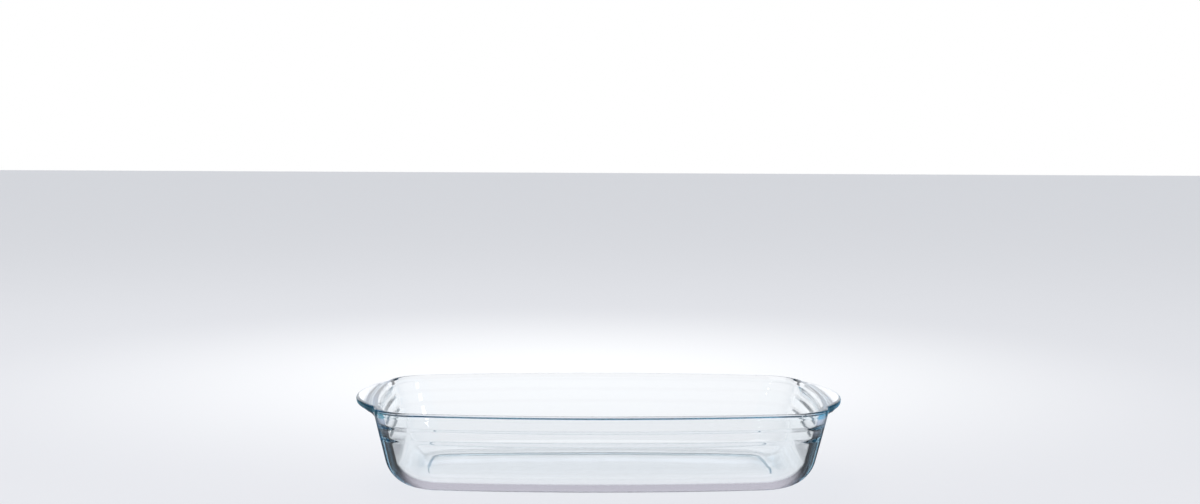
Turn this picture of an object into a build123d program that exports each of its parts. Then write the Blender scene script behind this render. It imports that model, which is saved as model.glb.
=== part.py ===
from build123d import *
import os
from math import atan2, cos, degrees, radians, sin, sqrt, tan

# Oven dish for lasagna, pressed from one gob of clear glass.
# Millimetres. X runs from handle to handle, Y from front to back, Z up, foot on z = 0.

# Size of the bowl, over its outer wall at the rim
height = 64.0
bowl_length = 360.0
bowl_width = 240.0
draft_angle = 14.0

# The long sides and the ends are shallow bows, joined by round corners
rim_side_bow_radius = 810.0
rim_end_bow_radius = 610.0
rim_corner_radius = 38.0
foot_side_bow_radius = 940.0
foot_end_bow_radius = 700.0
foot_corner_radius = 42.0

# Glass
rim_wall = 6.6
floor_thickness = 6.0
heel_radius = 28.0
heel_strips = 10

# Two ledges run round the inside
first_ledge_depth = 12.0
ledge_spacing = 10.0
ledge_count = 2
ledge_step = 0.7
ledge_fall = 1.2

# Rim: the top of the wall stands upright, and its two edges are bevelled
rim_height = 4.8
rim_outer_bevel = 1.3
rim_inner_bevel = 1.3

# Shallow recess under the floor, which leaves a foot round its edge
foot_width = 7.0
recess_depth = 0.8

# Handles: at each end the rim widens into a flat ear, with hollow arcs at its roots and a hollow under it
ear_reach = 15.0
ear_root_radius = 25.0
ear_hollow_radius = 6.5

overrun = 5.0

# Under the rim and the ears, where the wall's draft begins
rim_bottom = height - rim_height
ear_tip = bowl_length / 2 + ear_reach


def outline_sizes(inset, z):
    """Half length, half width and the three radii of the wall's outline at height z, moved in by inset."""
    share = min(z / rim_bottom, 1)
    drop = rim_bottom * (1 - share) * tan(radians(draft_angle))
    side_bow = rim_side_bow_radius * share + foot_side_bow_radius * (1 - share) - inset
    end_bow = rim_end_bow_radius * share + foot_end_bow_radius * (1 - share) - inset
    corner = rim_corner_radius * share + foot_corner_radius * (1 - share) - inset
    return bowl_length / 2 - drop - inset, bowl_width / 2 - drop - inset, side_bow, end_bow, corner


def corner_centre(half_length, half_width, side_bow, end_bow, corner):
    """Centre of the corner arc that touches both bows from inside, in the quarter with x and y positive."""
    side_y = half_width - side_bow
    end_x = half_length - end_bow
    apart = sqrt(end_x**2 + side_y**2)
    from_side = side_bow - corner
    from_end = end_bow - corner
    along = (from_side**2 - from_end**2 + apart**2) / (2 * apart)
    across = sqrt(from_side**2 - along**2)
    toward_end = (end_x / apart, -side_y / apart)
    return (toward_end[0] * along + toward_end[1] * across,
            side_y + toward_end[1] * along - toward_end[0] * across)


def polar(centre, radius, angle):
    return centre[0] + radius * cos(angle), centre[1] + radius * sin(angle)


def quarter_points(inset, z):
    """Where the corner arc leaves the side bow, its middle, and where it meets the end bow; and that bow's angle."""
    sizes = outline_sizes(inset, z)
    half_length, half_width, side_bow, end_bow, corner = sizes
    centre = corner_centre(*sizes)
    side_angle = atan2(centre[1] - half_width + side_bow, centre[0])
    end_angle = atan2(centre[1], centre[0] - half_length + end_bow)
    at_side = polar((0, half_width - side_bow), side_bow, side_angle)
    at_corner = polar(centre, corner, (side_angle + end_angle) / 2)
    at_end = polar((half_length - end_bow, 0), end_bow, end_angle)
    return at_side, at_corner, at_end, end_angle


def mirrored_arcs(z, sides, ends, quarters):
    """Closed wire at height z of arcs through three points: each side, end and quarter arc with its mirror images."""
    def arc(points, along, across):
        return ThreePointArc(*[(x * along, y * across, z) for x, y in points])

    edges = [arc(points, 1, across) for points in sides for across in (1, -1)]
    edges += [arc(points, along, 1) for points in ends for along in (1, -1)]
    edges += [arc(points, along, across) for points in quarters for along in (1, -1) for across in (1, -1)]
    return Wire(edges)


def outline(inset, z):
    """Closed outline of the wall at height z: four bows and four corner arcs, each tangent to the next."""
    half_length, half_width = outline_sizes(inset, z)[:2]
    at_side, at_corner, at_end, _ = quarter_points(inset, z)
    side = ((-at_side[0], at_side[1]), (0, half_width), at_side)
    end = ((at_end[0], -at_end[1]), (half_length, 0), at_end)
    return mirrored_arcs(z, [side], [end], [(at_side, at_corner, at_end)])


def ear_arc():
    """Radius and centre of the ear's edge: it passes through the tip and touches the arcs at its roots."""
    _, _, at_end, end_angle = quarter_points(0, height)
    root = polar(at_end, ear_root_radius, end_angle)
    past_tip = root[0] - ear_tip
    radius = (past_tip**2 + root[1]**2 - ear_root_radius**2) / (2 * (ear_root_radius - past_tip))
    return radius, (ear_tip - radius, 0), root


def rim_outline(z):
    """Outline of the rim seen from above, ears included, at height z."""
    half_width = outline_sizes(0, height)[1]
    at_side, at_corner, at_end, end_angle = quarter_points(0, height)
    radius, centre, root = ear_arc()
    ear_angle = atan2(root[1], root[0] - centre[0])
    at_ear = polar(centre, radius, ear_angle)
    at_root = polar(root, -ear_root_radius, (end_angle + ear_angle) / 2)
    side = ((-at_side[0], at_side[1]), (0, half_width), at_side)
    end = ((at_ear[0], -at_ear[1]), (ear_tip, 0), at_ear)
    return mirrored_arcs(z, [side], [end], [(at_side, at_corner, at_end), (at_end, at_root, at_ear)])


def tapered_block(*levels):
    """Solid between outlines, each given as inset and height, from the lowest to the highest."""
    return Solid.make_loft([outline(inset, z) for inset, z in levels], ruled=True)


def upright_block(wire, thickness):
    """Solid with upright walls over a closed outline."""
    return Solid.extrude(Face(wire), Vector(0, 0, thickness))


def edges_at(solid, z):
    """Edges that lie flat at height z."""
    return solid.edges().filter_by_position(Axis.Z, z, z)


def heel(radius, inset, bottom):
    """Levels up a round heel, from the flat at its bottom to the drafted wall it touches: strips of equal turn.

    A strip of an outline with four bows is straight upwards, so the round costs few facets. At 10 strips it lies
    within 0.06 of a true arc.
    """
    draft = radians(draft_angle)
    turn = radians(90) - draft
    flat = radius * tan(turn / 2)
    levels = []
    for strip in range(heel_strips + 1):
        angle = turn * strip / heel_strips
        rise = radius * (1 - cos(angle))
        levels.append((inset + flat - radius * sin(angle) + rise * tan(draft), bottom + rise))
    return levels


def bowl():
    """Drafted block with its round heel."""
    return tapered_block(*heel(heel_radius, 0, 0), (0, rim_bottom))


def rim():
    """Flat band that stands on the wall and widens into both ears, with its upper edge bevelled."""
    band = upright_block(rim_outline(rim_bottom), rim_height)
    return band.chamfer(rim_outer_bevel, rim_outer_bevel, edges_at(band, height))


def ear_hollow():
    """Glass that fills the angle between one ear and the wall, with a hollow face that runs from one to the other."""
    radius, centre, root = ear_arc()
    top = rim_bottom + rim_height / 2
    bottom = rim_bottom - ear_hollow_radius
    wall = bowl_length / 2 - ear_hollow_radius * tan(radians(draft_angle))
    inside = wall - rim_wall
    outside = wall + ear_hollow_radius
    slant = sin(radians(45))
    middle = (wall + ear_hollow_radius * (1 - slant), bottom + ear_hollow_radius * slant)

    def at(x, z):
        return Vector(x, 0, z)

    section = Face(Wire([
        ThreePointArc(at(wall, bottom), at(*middle), at(outside, rim_bottom)),
        Line(at(outside, rim_bottom), at(outside, top)),
        Line(at(outside, top), at(inside, top)),
        Line(at(inside, top), at(inside, bottom)),
        Line(at(inside, bottom), at(wall, bottom)),
    ]))
    angle = degrees(atan2(root[1], root[0] - centre[0]))
    axis = Axis((centre[0], 0, 0), (0, 0, 1))
    return Solid.revolve(section.rotate(axis, -angle), 2 * angle, axis)


def cavity():
    """Room inside: it narrows by one step at each ledge, and meets the floor in a round heel."""
    inset = rim_wall
    levels = [(inset, rim_bottom)]
    for ledge in range(ledge_count):
        top = height - first_ledge_depth - ledge * ledge_spacing
        levels.append((inset, top))
        inset += ledge_step
        levels.append((inset, top - ledge_fall))
    room = tapered_block(*heel(heel_radius - floor_thickness, inset, floor_thickness), *reversed(levels))
    return room + upright_block(outline(rim_wall, rim_bottom), rim_height + overrun)


def foot_recess():
    """Shallow recess under the floor, inside the foot."""
    flat_inset = heel_radius * tan(radians(90 - draft_angle) / 2)
    inset = flat_inset + foot_width
    return tapered_block((inset, 0), (inset + recess_depth, recess_depth))


def glass_dish():
    """The whole pressing: bowl, rim and both handles, hollowed out, with the inner edge of the rim bevelled."""
    hollow = ear_hollow()
    body = bowl() + rim() + hollow + hollow.mirror(Plane.YZ)
    body = body - cavity() - foot_recess()
    top = body.faces().sort_by(Axis.Z)[-1]
    return body.chamfer(rim_inner_bevel, rim_inner_bevel, top.inner_wires().edges())


dish = glass_dish()
os.makedirs("parts", exist_ok=True)
export_step(dish, "parts/glass_dish.step")
print("volume, cubic centimetres:", round(dish.volume / 1000))
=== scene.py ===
# Oven dish for lasagna in clear glass, meshed from the sizes of its pressing, on a pale floor in a studio.

import math

import bpy
import numpy as np
from mathutils import Matrix, Vector

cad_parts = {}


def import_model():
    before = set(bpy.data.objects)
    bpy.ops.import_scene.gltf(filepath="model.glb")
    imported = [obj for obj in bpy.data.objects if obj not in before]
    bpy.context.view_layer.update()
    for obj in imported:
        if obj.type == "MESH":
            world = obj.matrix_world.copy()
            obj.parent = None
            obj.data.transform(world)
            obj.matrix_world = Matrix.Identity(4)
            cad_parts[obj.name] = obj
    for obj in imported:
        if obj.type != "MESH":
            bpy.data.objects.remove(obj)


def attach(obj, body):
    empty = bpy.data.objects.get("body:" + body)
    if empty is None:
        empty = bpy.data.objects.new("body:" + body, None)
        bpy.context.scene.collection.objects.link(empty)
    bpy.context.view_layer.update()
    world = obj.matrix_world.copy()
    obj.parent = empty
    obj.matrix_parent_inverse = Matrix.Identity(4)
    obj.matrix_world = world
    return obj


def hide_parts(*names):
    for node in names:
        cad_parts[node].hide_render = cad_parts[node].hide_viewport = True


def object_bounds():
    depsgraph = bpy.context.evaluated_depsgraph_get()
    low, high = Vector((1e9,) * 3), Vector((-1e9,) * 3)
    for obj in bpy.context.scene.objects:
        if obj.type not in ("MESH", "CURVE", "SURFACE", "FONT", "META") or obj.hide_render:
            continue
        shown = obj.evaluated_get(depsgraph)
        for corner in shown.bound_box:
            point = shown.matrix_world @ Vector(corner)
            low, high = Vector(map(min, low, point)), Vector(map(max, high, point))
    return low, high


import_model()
cad_low, cad_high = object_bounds()

MM = 0.001

# The pressing, in millimetres, with its overall size as the frame holds it
LENGTH = (cad_high[0] - cad_low[0]) / MM
WIDTH = (cad_high[1] - cad_low[1]) / MM
HEIGHT = (cad_high[2] - cad_low[2]) / MM
BOWL_LENGTH = 360.0
DRAFT = math.radians(14.0)
WALL = 6.6
FLOOR = 6.0
HEEL = 28.0

# Radii of the outline's bows and corners, at the foot and at the rim
SIDE_BOW = (940.0, 810.0)
END_BOW = (700.0, 610.0)
CORNER = (42.0, 38.0)

# Ledges round the inside. The softness is the height over which each step is spread
LEDGES = 2
FIRST_LEDGE_DEPTH = 12.0
LEDGE_SPACING = 10.0
LEDGE_STEP = 0.7
LEDGE_FALL = 1.2
LEDGE_SOFTNESS = 3.4

# Rim: its outer edge is a quarter of an ellipse, and its inner edge a bevel of 45 degrees with rounded ends
RIM_HEIGHT = 4.8
RIM_OUTER_RUN = 2.4
RIM_OUTER_FALL = 1.9
RIM_INNER_BEVEL = 3.0
RIM_INNER_ROUNDING = 1.0
RIM_FLAT_END = WALL - RIM_INNER_BEVEL - RIM_INNER_ROUNDING * math.tan(math.radians(45.0) / 2)

# Handles. The bends under the rim are tight creases where there is no ear, and grow with the ear's reach
EAR_ROOT = 25.0
EAR_HOLLOW = 8.5
EAR_LOWER_ROUNDING = 1.6
CREASE_ROUNDING = 0.8
HOLLOW_GROWTH = 1.8
LOWER_GROWTH = 0.2
WALL_BELOW_HOLLOW = 2.0

# Recess under the floor, with a soft border. It is narrower across the dish than the foot round it
FOOT_WIDTH = 5.0
RECESS_DEPTH = 0.5
RECESS_FADE = 3.0
RECESS_WIDTH_SHARE = 0.79

# Samples round a quarter of the outline
SIDE_STEPS = 36
CORNER_STEPS = 34
END_STEPS = 42

# Rings along stretches of the profile, from under the floor to the floor inside
FAN_RINGS = 6
FADE_STEPS = 6
OUTER_HEEL_STEPS = 24
EAR_STEPS = 38
ARC_STEPS = 8
RIM_FLAT_STEPS = 8
INNER_HEEL_STEPS = 22

# Longest runs between rings, shortest beside the bends, and the width of the first flat ring inside
FINE_RUN = 1.0
HEEL_RUN = 2.0
OUTER_WALL_RUN = 4.0
INNER_WALL_RUN = 0.8
FLOOR_BORDER = 4.0

# Photograph's camera, solved from the rim, the foot and both handles. Its place is in millimetres
CAMERA_PLACE = (-51.53, -1601.0, 306.9)
CAMERA_PITCH = 0.0799
CAMERA_YAW = 0.0323
CAMERA_ROLL = 0.0061
FOCAL_PIXELS = 1997.9
PHOTO_WIDTH_PIXELS = 1200
SENSOR_WIDTH = 36.0

# Glass: its index of refraction, its faint body colour, and the shares of a lamp's light that pass it
WHITE = (1, 1, 1, 1)
GLASS_INDEX = 1.474
BODY_COLOUR = (0.36, 0.70, 0.86, 1)
BODY_DENSITY = 7.0
LAMP_LIGHT_PASSED = (0.90, 0.92, 0.94, 1)

# Swells in the glass's faces: how many to a metre, how strong they look, and how high they stand in metres
SWELLS_PER_METRE = 26.0
SWELL_STRENGTH = 0.25
SWELL_HEIGHT = 0.0003

# Floor, in metres. It lies just under the foot
FLOOR_HALF_SIZE = 6.0
FLOOR_DROP = 0.0001

# Floor's colours: a painted pool of light, white round a point behind the dish, and a painted falloff to grey
# farther out, lighter through glass
PAINTED_POOL_CENTRE = (0.0, 0.55, 0.0)
PAINTED_POOL_RADIUS = 0.75
PAINTED_POOL_WHITE = (0.98, 0.985, 1.0, 1)
PAINTED_FALLOFF_GREY = (0.755, 0.76, 0.795, 1)
PAINTED_GREY_THROUGH_GLASS = (0.85, 0.84, 0.86, 1)

# Painted shade on the floor: how far in front of the middle its line under the front heel runs, and where it
# fades out
PAINTED_HEEL_LINE = 0.085
PAINTED_HEEL_SHADE = (0.515, 0.475, 0.53, 1)
CLEAR_BEHIND = (0.15, 0.24)
CLEAR_SIDES = (0.27, 0.31)

# Backdrop: y and z of its middle, cosines from there at its soft edge, and z at the soft edges of its belt
BACKDROP_MIDDLE = (0.985, 0.174)
BACKDROP_EDGE = (0.86, 0.95)
BACKDROP_WHITE = (0.95, 0.97, 1.0, 1)
BELT_LOWER_EDGE = (0.115, 0.13)
BELT_UPPER_EDGE = (0.155, 0.17)
BELT_WHITE = (1.15, 1.18, 1.24, 1)

# Rest of the room that glass sees, by the x of a direction: grey ahead, teal at the left, blue at the right
GREY_EDGE = (0.2, 0.45)
ROOM_GREY = (0.20, 0.20, 0.21, 1)
TINT_TURN = (-0.3, 0.3)
ROOM_TEAL = (0.07, 0.18, 0.23, 1)
ROOM_BLUE = (0.09, 0.24, 0.36, 1)

# Lamps: name, place in metres, width, height and power in watts. Each faces the middle of the foot
LAMPS = [
    ("overhead", (-0.3, 0.6, 1.6), 1.0, 1.0, 4.0),
    ("left window", (-0.64, -0.81, 0.53), 0.1, 0.06, 0.45),
    ("right window", (0.84, -0.64, 0.46), 0.1, 0.06, 0.45),
]


def mix(low, high, share):
    """Value between two others, by its share of the way."""
    return low + (high - low) * share


def soft_step(share):
    """Half a cosine wave, from 0 to 1."""
    return 0.5 - 0.5 * math.cos(math.pi * share)


def outline_sizes(inset, level):
    """Half length, half width and three radii of the outline at a level.

    Each changes in a straight line from foot to rim, and stays as it is above."""
    share = np.minimum(level / (HEIGHT - RIM_HEIGHT), 1.0)
    drop = (HEIGHT - RIM_HEIGHT) * (1 - share) * math.tan(DRAFT)
    return (BOWL_LENGTH / 2 - drop - inset, WIDTH / 2 - drop - inset,
            mix(*SIDE_BOW, share) - inset, mix(*END_BOW, share) - inset, mix(*CORNER, share) - inset)


def corner_circle(inset, level):
    """Centre of the corner arc inside both bows, and the angles where it meets the side bow and the end bow.

    The centre is where two circles cross. Each is about the centre of a bow, and its radius is the bow's
    radius less the corner's."""
    half_length, half_width, side, end, corner = outline_sizes(inset, level)
    side_y = half_width - side
    end_x = half_length - end
    apart = np.hypot(end_x, side_y)
    along = ((side - corner) ** 2 - (end - corner) ** 2 + apart**2) / (2 * apart)
    across = np.sqrt((side - corner) ** 2 - along**2)
    x = end_x / apart * along - side_y / apart * across
    y = side_y - side_y / apart * along - end_x / apart * across
    return x, y, np.arctan2(y - side_y, x), np.arctan2(y, x - end_x)


def round_quarter():
    """Stretch (0 side, 1 corner, 2 end) and share along it of each sample round a quarter."""
    side = [(0, i / SIDE_STEPS) for i in range(SIDE_STEPS)]
    corner = [(1, i / CORNER_STEPS) for i in range(CORNER_STEPS)]
    end = [(2, i / END_STEPS) for i in range(END_STEPS + 1)]
    return np.array(side + corner + end)


QUARTER = round_quarter()


def quarter_ring(inset, level):
    """Points of the quarter of an outline where x and y are positive.

    Each is placed by its angle on the side bow, the corner arc or the end bow."""
    half_length, half_width, side, end, corner = outline_sizes(inset, level)
    corner_x, corner_y, side_angle, end_angle = corner_circle(inset, level)
    stretch, share = QUARTER[:, 0], QUARTER[:, 1]
    on_side, on_corner = stretch == 0, stretch == 1
    angle = np.where(on_side, mix(math.pi / 2, side_angle, share),
                     np.where(on_corner, mix(side_angle, end_angle, share), mix(end_angle, 0.0, share)))
    along, across = np.cos(angle), np.sin(angle)
    x = np.where(on_side, side * along,
                 np.where(on_corner, corner_x + corner * along, half_length - end + end * along))
    y = np.where(on_side, half_width - side + side * across,
                 np.where(on_corner, corner_y + corner * across, end * across))
    return x, y


def ear_reach():
    """How far the ear's edge lies outside the bowl at each sample of a quarter, along the outline's normal.

    The edge is an arc through the handle's tip. It touches a hollow arc at its root, and that arc touches the
    end bow where the corner begins. Each distance is where the normal crosses one of those two circles."""
    x, y = quarter_ring(0.0, HEIGHT)
    end_angle = corner_circle(0.0, HEIGHT)[3]
    end = END_BOW[1]
    end_x = BOWL_LENGTH / 2 - end
    on_end = QUARTER[:, 0] == 2
    normal = np.where(on_end, mix(end_angle, 0.0, QUARTER[:, 1]), end_angle)
    normal_x, normal_y = np.cos(normal), np.sin(normal)
    root_x = end_x + (end + EAR_ROOT) * math.cos(end_angle)
    root_y = (end + EAR_ROOT) * math.sin(end_angle)
    past_tip = root_x - LENGTH / 2
    radius = (past_tip**2 + root_y**2 - EAR_ROOT**2) / (2 * (EAR_ROOT - past_tip))
    centre = LENGTH / 2 - radius

    def crossing(circle_x, circle_y, circle_radius, sign):
        along = (x - circle_x) * normal_x + (y - circle_y) * normal_y
        square = along**2 - (x - circle_x) ** 2 - (y - circle_y) ** 2 + circle_radius**2
        return -along + sign * np.sqrt(np.maximum(square, 0.0))

    ear_angle = math.atan2(root_y, root_x - centre)
    joint_x = centre + radius * math.cos(ear_angle)
    joint_y = radius * math.sin(ear_angle)
    joint = math.atan2(joint_y, joint_x - end_x)
    on_ear = crossing(centre, 0.0, radius, 1)
    on_root = crossing(root_x, root_y, EAR_ROOT, -1)
    return np.where(on_end, np.maximum(np.where(normal < joint, on_ear, on_root), 0.0), 0.0)


REACH = ear_reach()


def bend(distance, half):
    """Growth past a kink, averaged over half to each side.

    It is 0 before that stretch, the distance after it, and a parabola between."""
    parabola = (distance + half) ** 2 / (4 * half)
    return np.where(distance < -half, 0.0, np.where(distance > half, distance, parabola))


def arc(start, end, centre, steps):
    """Points on the arc about a centre from start to end, both left out."""
    first = np.arctan2(start[1] - centre[1], start[0] - centre[0])
    last = np.arctan2(end[1] - centre[1], end[0] - centre[0])
    turn = (last - first + math.pi) % (2 * math.pi) - math.pi
    radius = np.hypot(start[0] - centre[0], start[1] - centre[1])
    angles = [first + turn * i / steps for i in range(1, steps)]
    return [(centre[0] + radius * np.cos(angle), centre[1] + radius * np.sin(angle)) for angle in angles]


def rounded(points, radius, steps):
    """Polyline with each inner corner replaced by an arc of a radius that touches both runs."""
    out = [points[0]]
    for before, corner, after in zip(points, points[1:], points[2:]):
        before, corner, after = np.array(before), np.array(corner), np.array(after)
        back = (before - corner) / np.hypot(*(before - corner))
        ahead = (after - corner) / np.hypot(*(after - corner))
        half = math.acos(max(-1.0, min(1.0, float(back @ ahead)))) / 2
        centre = corner + (back + ahead) / np.hypot(*(back + ahead)) * radius / math.sin(half)
        start = corner + back * radius / math.tan(half)
        end = corner + ahead * radius / math.tan(half)
        out += [tuple(start)] + arc(start, end, centre, steps) + [tuple(end)]
    return out + [points[-1]]


def spread(points, longest):
    """The same polyline with long runs divided evenly, so that no run is longer than a length."""
    out = [points[0]]
    for (x, z), (next_x, next_z) in zip(points, points[1:]):
        parts = max(1, math.ceil(math.hypot(next_x - x, next_z - z) / longest))
        out += [(x + (next_x - x) * i / parts, z + (next_z - z) * i / parts) for i in range(1, parts + 1)]
    return out


def heel_flat(radius):
    """How far in from the drafted wall's foot a round heel of a radius ends on the flat."""
    return radius * math.tan((math.pi / 2 - DRAFT) / 2)


def heel(radius, inset, bottom, steps):
    """Inset and height of points down a round heel.

    It is an arc that touches the drafted wall, whose foot has an inset, and the flat at the bottom."""
    turn = math.pi / 2 - DRAFT
    flat = inset + heel_flat(radius)
    out = []
    for i in range(steps + 1):
        angle = turn * (1 - i / steps)
        rise = radius * (1 - math.cos(angle))
        out.append((flat - radius * math.sin(angle) + rise * math.tan(DRAFT), bottom + rise))
    return out


def outer_levels():
    """Inset and height of each ring from the recess under the floor, over foot and heel, to below the ears.

    The recess fades out at the foot in half a cosine wave."""
    round_heel = heel(HEEL, 0.0, 0.0, OUTER_HEEL_STEPS)[::-1]
    foot_inside = round_heel[0][0] + FOOT_WIDTH
    shares = [i / FADE_STEPS for i in range(FADE_STEPS + 1)]
    fade = [(foot_inside + RECESS_FADE * (1 - share), RECESS_DEPTH * (1 - soft_step(share)))
            for share in shares]
    top = (0.0, HEIGHT - RIM_HEIGHT - EAR_HOLLOW - WALL_BELOW_HOLLOW)
    foot = spread([fade[-1], round_heel[0]], FINE_RUN)
    wall = spread([round_heel[-1], top], OUTER_WALL_RUN)
    return fade[:-1] + foot + spread(round_heel, HEEL_RUN)[1:] + wall[1:]


def rim_rings():
    """Inset, outline level and height of each ring from the drafted wall, out under the ears, over the rim.

    The profile runs up the wall, out along the underside by the ear's reach, and up the edge. It has a wide
    bend at the first corner and a tight one at the second, and where there is no ear both are one slight
    crease. Then comes a quarter of an ellipse, and the flat top as far as the inner bevel's rounding."""
    bottom = HEIGHT - RIM_HEIGHT
    below = EAR_HOLLOW + WALL_BELOW_HOLLOW
    above = RIM_HEIGHT - RIM_OUTER_FALL
    hollow = np.minimum(CREASE_ROUNDING + HOLLOW_GROWTH * REACH, EAR_HOLLOW)
    lower = np.minimum(CREASE_ROUNDING + LOWER_GROWTH * REACH, EAR_LOWER_ROUNDING)
    rings = []
    for i in range(1, EAR_STEPS + 1):
        run = (below + REACH + above) * i / EAR_STEPS
        first = bend(run - below, hollow)
        second = bend(run - below - REACH, lower)
        x = math.sin(DRAFT) * (run - below - first) + first - second
        z = bottom + math.cos(DRAFT) * (run - below - first) + second
        level = np.minimum(z, bottom)
        wall = (level - bottom) * math.tan(DRAFT)
        rings.append((wall - x, level, z))
    top = np.full_like(REACH, HEIGHT)
    for i in range(1, ARC_STEPS + 1):
        angle = math.pi / 2 * i / ARC_STEPS
        inset = RIM_OUTER_RUN * (1 - math.cos(angle)) - REACH
        z = HEIGHT - RIM_OUTER_FALL + RIM_OUTER_FALL * math.sin(angle)
        rings.append((inset, top, np.full_like(REACH, z)))
    for i in range(1, RIM_FLAT_STEPS + 1):
        rings.append((mix(RIM_OUTER_RUN - REACH, RIM_FLAT_END, i / RIM_FLAT_STEPS), top, top))
    return rings


def ledges(z):
    """How far the ledges above a height have brought the inner wall in: one soft step for each."""
    inset = 0.0
    for ledge in range(LEDGES):
        middle = HEIGHT - FIRST_LEDGE_DEPTH - ledge * LEDGE_SPACING - LEDGE_FALL / 2
        share = min(max((middle - z) / LEDGE_SOFTNESS + 0.5, 0.0), 1.0)
        inset += LEDGE_STEP * soft_step(share)
    return inset


def inner_levels():
    """Inset and height of each ring from the bevelled inner edge of the rim, over the ledges, to the floor.

    The first point of the bevel's rounding is left out, because the flat top of the rim ends there."""
    bevel_bottom = HEIGHT - RIM_INNER_BEVEL
    edge = [(0.0, HEIGHT), (WALL - RIM_INNER_BEVEL, HEIGHT), (WALL, bevel_bottom),
            (WALL, bevel_bottom - RIM_INNER_BEVEL)]
    edge = spread(rounded(edge, RIM_INNER_ROUNDING, ARC_STEPS)[2:-1], FINE_RUN)
    round_heel = heel(HEEL - FLOOR, WALL + LEDGES * LEDGE_STEP, FLOOR, INNER_HEEL_STEPS)
    top, bottom = edge[-1][1], round_heel[0][1]
    count = round((top - bottom) / INNER_WALL_RUN)
    wall = [(WALL + ledges(z), z) for z in np.linspace(top, bottom, count + 1)[1:-1]]
    return edge + wall + round_heel + [(round_heel[-1][0] + FLOOR_BORDER, FLOOR)]


def dish_rings():
    """Every ring of the pressing from under the floor, up the outside, over the rim and down to the floor.

    Under the floor, the rings are narrowed across the dish, from none at the heel to the full share at the
    recess."""
    same = np.ones_like(REACH)
    rings = [(same * inset, same * z, same * z) for inset, z in outer_levels()]
    rings += rim_rings()
    rings += [(same * inset, same * z, same * z) for inset, z in inner_levels()]
    insets, levels, heights = (np.array(column) for column in zip(*rings))
    x, y = quarter_ring(insets, levels)
    past_heel = np.clip((insets - heel_flat(HEEL)) / FOOT_WIDTH, 0.0, 1.0)
    narrowed = y * mix(1.0, RECESS_WIDTH_SHARE, past_heel)
    return x, np.where(heights < FLOOR, narrowed, y), heights


def whole_rings(x, y, z):
    """Quarter rings mirrored into whole rings, front to right to back to left, each sample once."""
    quarters = [np.stack([x, -y, z], -1), np.stack([x, y, z], -1)[:, ::-1],
                np.stack([-x, y, z], -1), np.stack([-x, -y, z], -1)[:, ::-1]]
    return np.concatenate([quarter[:, :-1] for quarter in quarters], 1)


def drawn_in(ring, shares):
    """A flat ring drawn in towards its centre, once for each share of its size."""
    centre = np.array([0.0, 0.0, ring[0, 2]])
    return np.array([centre + (ring - centre) * share for share in shares])


def glass_dish():
    """The pressing as one closed shell: quads between rings, and a fan inside the first and the last."""
    rings = whole_rings(*dish_rings())
    shares = np.linspace(0, 1, FAN_RINGS + 2)[1:-1]
    rings = np.concatenate([drawn_in(rings[0], shares), rings, drawn_in(rings[-1], shares[::-1])])
    levels, samples = rings.shape[:2]
    middles = [[0, 0, rings[0, 0, 2]], [0, 0, rings[-1, 0, 2]]]
    points = np.concatenate([rings.reshape(-1, 3), middles])
    first = np.arange(levels - 1)[:, None] * samples
    above = first + samples
    here = np.arange(samples)
    following = (here + 1) % samples
    quads = np.stack([first + here, first + following, above + following, above + here], -1).reshape(-1, 4)
    last = (levels - 1) * samples
    under = np.stack([np.full(samples, levels * samples), following, here], -1)
    inside = np.stack([np.full(samples, levels * samples + 1), last + here, last + following], -1)
    return points * MM, quads, np.concatenate([under, inside])


def mesh_object(name, points, quads, triangles):
    """Blender object of the given points and faces, smooth all over."""
    mesh = bpy.data.meshes.new(name)
    mesh.from_pydata(points.tolist(), [], quads.tolist() + triangles.tolist())
    mesh.polygons.foreach_set("use_smooth", [True] * len(mesh.polygons))
    mesh.update()
    obj = bpy.data.objects.new(name, mesh)
    bpy.context.scene.collection.objects.link(obj)
    return obj


class Number:
    """Output of a shader node, used like a number in expressions."""

    def __init__(self, shader, socket):
        self.shader, self.socket = shader, socket

    def maths(self, operation, *values):
        return self.shader.add("Math", {"operation": operation}, dict(enumerate(values)), "Value")

    def __add__(self, other):
        return self.maths("ADD", self, other)

    def __sub__(self, other):
        return self.maths("SUBTRACT", self, other)

    def __rsub__(self, other):
        return self.maths("SUBTRACT", other, self)

    def __mul__(self, other):
        return self.maths("MULTIPLY", self, other)

    __radd__, __rmul__ = __add__, __mul__

    def __abs__(self):
        return self.maths("ABSOLUTE", self)

    def either(self, other):
        """The larger of two masks."""
        return self.maths("MAXIMUM", self, other)

    def past(self, start, end):
        """Smooth step from 0 at start to 1 at end."""
        return self.shader.add("MapRange", {"interpolation_type": "SMOOTHSTEP"},
                               {"Value": self, "From Min": start, "From Max": end}, "Result")


class Shader:
    """Node tree of a material or of the world."""

    def __init__(self, owner):
        owner.use_nodes = True
        self.tree = owner.node_tree

    def fill(self, node, inputs):
        """Links Numbers to a node's sockets, and sets values on the others."""
        for name, value in inputs.items():
            if isinstance(value, Number):
                self.tree.links.new(value.socket, node.inputs[name])
            else:
                node.inputs[name].default_value = value

    def add(self, kind, settings, inputs, output):
        """New node: its settings first, then values or links for its sockets. Gives the named output."""
        node = self.tree.nodes.new("ShaderNode" + kind)
        for name, value in settings.items():
            setattr(node, name, value)
        self.fill(node, inputs)
        return Number(self, node.outputs[output])

    def blend(self, share, first, second):
        """Colour between two colours. A Mix node takes them at sockets 6 and 7, and gives it at output 2."""
        return self.add("Mix", {"data_type": "RGBA"}, {0: share, 6: first, 7: second}, 2)

    def split(self, vector):
        """The three numbers of a vector."""
        return [self.add("SeparateXYZ", {}, {"Vector": vector}, axis) for axis in "XYZ"]

    def ray(self, output):
        """What Light Path says of a ray: its kind, or how often it has turned."""
        return self.add("LightPath", {}, {}, output)


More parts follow.
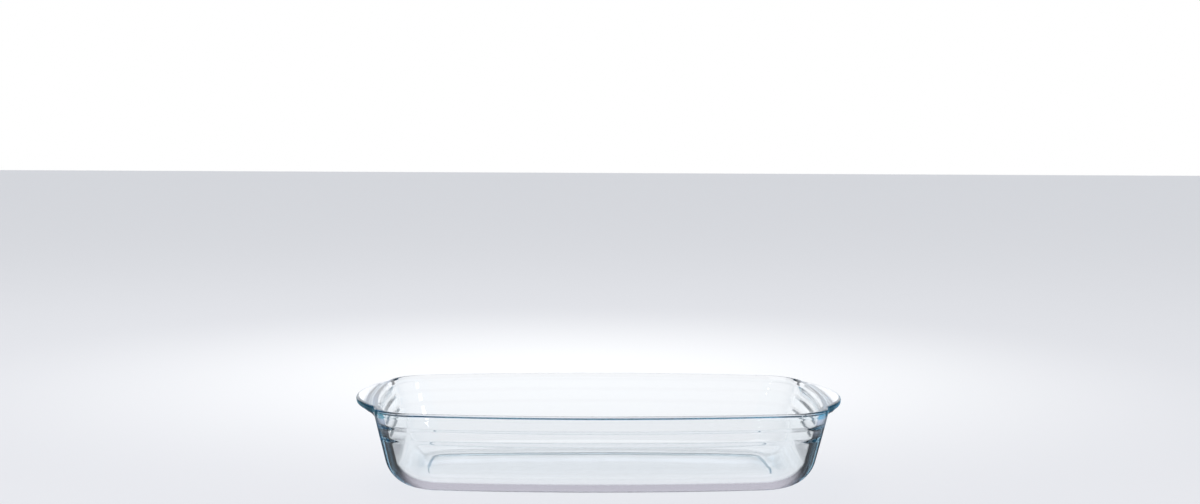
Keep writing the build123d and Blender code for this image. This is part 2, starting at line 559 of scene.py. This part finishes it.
def clear_glass():
    """Clear glass with a faint blue body colour that shows along the long paths in its edges.

    Its faces are not quite even, as pressing leaves them. Lamps shine through it with a slight loss, so that
    its shadow is as pale as a real one."""
    material = bpy.data.materials.new("clear_glass")
    shader = Shader(material)
    nodes = shader.tree.nodes
    place = shader.add("TexCoord", {}, {}, "Object")
    noise = {"Vector": place, "Scale": SWELLS_PER_METRE, "Detail": 1.0, "Roughness": 0.4}
    swell = shader.add("TexNoise", {}, noise, "Fac")
    bump = {"Height": swell, "Strength": SWELL_STRENGTH, "Distance": SWELL_HEIGHT}
    uneven = shader.add("Bump", {}, bump, "Normal")
    shader.fill(nodes["Principled BSDF"], {
        "Base Color": WHITE, "Roughness": 0.0, "IOR": GLASS_INDEX, "Transmission Weight": 1.0,
        "Normal": uneven})
    glass = Number(shader, nodes["Principled BSDF"].outputs["BSDF"])
    passed = shader.add("BsdfTransparent", {}, {"Color": LAMP_LIGHT_PASSED}, "BSDF")
    both = shader.add("MixShader", {}, {0: shader.ray("Is Shadow Ray"), 1: glass, 2: passed}, "Shader")
    body = shader.add("VolumeAbsorption", {}, {"Color": BODY_COLOUR, "Density": BODY_DENSITY}, "Volume")
    shader.fill(nodes["Material Output"], {"Surface": both, "Volume": body})
    return material


def painted_floor_shade(shader, x, y):
    """Painted shade on the floor, by place, seen only by light thrown about inside the glass, as painted
    reflections.

    It starts as the painted grey that shows in the front heel. Each zone then covers it, from not at all at
    its first distance, in metres, to wholly at its second."""
    sideways = abs(x)
    shade = PAINTED_HEEL_SHADE
    zones = [
        # Painted dark shade on all but a line under the front heel
        (abs(y + PAINTED_HEEL_LINE), 0.01, 0.028, (0.05, 0.05, 0.08, 1)),
        # Painted dark shade under both ends of the dish, which shows in the end walls
        (sideways, 0.13, 0.19, (0.045, 0.045, 0.05, 1)),
        # Painted pale blue-grey reflection past both handles, which shows along the outside of the end walls
        (sideways, 0.24, 0.285, (0.55, 0.60, 0.72, 1)),
        # Farther out, painted reflection colour: blue at the right and teal at the left
        (x, 0.27, 0.33, (0.12, 0.40, 0.62, 1)),
        (0.0 - x, 0.26, 0.32, (0.09, 0.30, 0.40, 1)),
    ]
    for distance, start, full, colour in zones:
        shade = shader.blend(distance.past(start, full), shade, colour)
    return shade


def floor():
    """Pale floor. Light thrown about inside the glass finds it in painted shade, which draws the glass's
    edges.

    Round a point behind the dish a painted pool of light leaves it white, fading to a painted soft grey, a
    little lighter where it is seen through the glass. Right behind the dish it has no painted shade."""
    half = FLOOR_HALF_SIZE
    corners = np.array([(-half, -half, -FLOOR_DROP), (half, -half, -FLOOR_DROP),
                        (half, half, -FLOOR_DROP), (-half, half, -FLOOR_DROP)])
    obj = mesh_object("floor", corners, np.array([(0, 1, 2, 3)]), np.empty((0, 3), int))
    material = bpy.data.materials.new("floor")
    shader = Shader(material)
    place = shader.add("TexCoord", {}, {}, "Object")
    x, y, _ = shader.split(place)
    # Painted pool of light round a point behind the dish, fading to painted grey, lighter to rays through
    # glass
    behind = shader.add("VectorMath", {"operation": "DISTANCE"}, {0: place, 1: PAINTED_POOL_CENTRE}, "Value")
    through = shader.ray("Transmission Depth").past(0.0, 1.0)
    grey = shader.blend(through, PAINTED_FALLOFF_GREY, PAINTED_GREY_THROUGH_GLASS)
    pale = shader.blend(behind.past(0.0, PAINTED_POOL_RADIUS), PAINTED_POOL_WHITE, grey)
    # Painted shade shows only to light thrown about in the glass, and fades out right behind the dish
    clear = y.past(*CLEAR_BEHIND) * (1.0 - abs(x).past(*CLEAR_SIDES))
    thrown = shader.ray("Glossy Depth").past(0.0, 1.0)
    colour = shader.blend(thrown * (1.0 - clear), pale, painted_floor_shade(shader, x, y))
    shader.fill(shader.tree.nodes["Principled BSDF"], {"Base Color": colour, "Roughness": 0.9})
    obj.data.materials.append(material)


def world():
    """Room that is white to the camera and to diffuse light.

    Glass sees a bright backdrop behind the dish, with a brighter belt low on it, in a dim room that is grey
    in its middle and tinted towards its two sides."""
    room = bpy.data.worlds.new("studio")
    bpy.context.scene.world = room
    shader = Shader(room)
    x, y, z = shader.split(shader.add("TexCoord", {}, {}, "Generated"))
    backdrop = (y * BACKDROP_MIDDLE[0] + z * BACKDROP_MIDDLE[1]).past(*BACKDROP_EDGE)
    belt = z.past(*BELT_LOWER_EDGE) * (1.0 - z.past(*BELT_UPPER_EDGE))
    bright = shader.blend(belt, BACKDROP_WHITE, BELT_WHITE)
    tinted = shader.blend(x.past(*TINT_TURN), ROOM_TEAL, ROOM_BLUE)
    dim = shader.blend(abs(x).past(*GREY_EDGE), ROOM_GREY, tinted)
    white = shader.ray("Is Camera Ray").either(shader.ray("Is Diffuse Ray"))
    colour = shader.blend(white, shader.blend(backdrop, dim, bright), WHITE)
    shader.fill(shader.tree.nodes["Background"], {"Color": colour, "Strength": 1.0})


def lamp(name, place, width, height, power):
    """Rectangular lamp that faces the middle of the foot."""
    data = bpy.data.lights.new(name, "AREA")
    data.shape = "RECTANGLE"
    data.size, data.size_y, data.energy = width, height, power
    obj = bpy.data.objects.new(name, data)
    bpy.context.scene.collection.objects.link(obj)
    turn = (-Vector(place)).to_track_quat("-Z", "Y").to_matrix().to_4x4()
    obj.matrix_world = Matrix.Translation(Vector(place)) @ turn


def camera():
    """Photograph's camera, which looks along +Y but for its yaw to the right, its pitch down and its roll."""
    data = bpy.data.cameras.new("camera")
    data.sensor_width = SENSOR_WIDTH
    data.lens = FOCAL_PIXELS / PHOTO_WIDTH_PIXELS * SENSOR_WIDTH
    obj = bpy.data.objects.new("camera", data)
    bpy.context.scene.collection.objects.link(obj)
    level = Vector((math.sin(CAMERA_YAW), math.cos(CAMERA_YAW), 0))
    ahead = level * math.cos(CAMERA_PITCH) - Vector((0, 0, math.sin(CAMERA_PITCH)))
    side = Vector((level.y, -level.x, 0))
    above = side.cross(ahead)
    right = side * math.cos(CAMERA_ROLL) + above * math.sin(CAMERA_ROLL)
    up = above * math.cos(CAMERA_ROLL) - side * math.sin(CAMERA_ROLL)
    turn = Matrix((right, up, -ahead)).transposed()
    obj.matrix_world = Matrix.Translation(Vector(CAMERA_PLACE) * MM) @ turn.to_4x4()
    bpy.context.scene.camera = obj


dish = mesh_object("dish", *glass_dish())
dish.data.materials.append(clear_glass())
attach(dish, "root")
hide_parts("glass_dish")

# Diffuse light passes the dish as if it weren't there, so all it leaves on the floor is its pale shadow
dish.visible_diffuse = False

floor()
world()
for facts in LAMPS:
    lamp(*facts)
camera()

bpy.context.scene.view_settings.view_transform = "Standard"
paths = bpy.context.scene.cycles
paths.max_bounces = 32
paths.glossy_bounces = 24
paths.transmission_bounces = 24
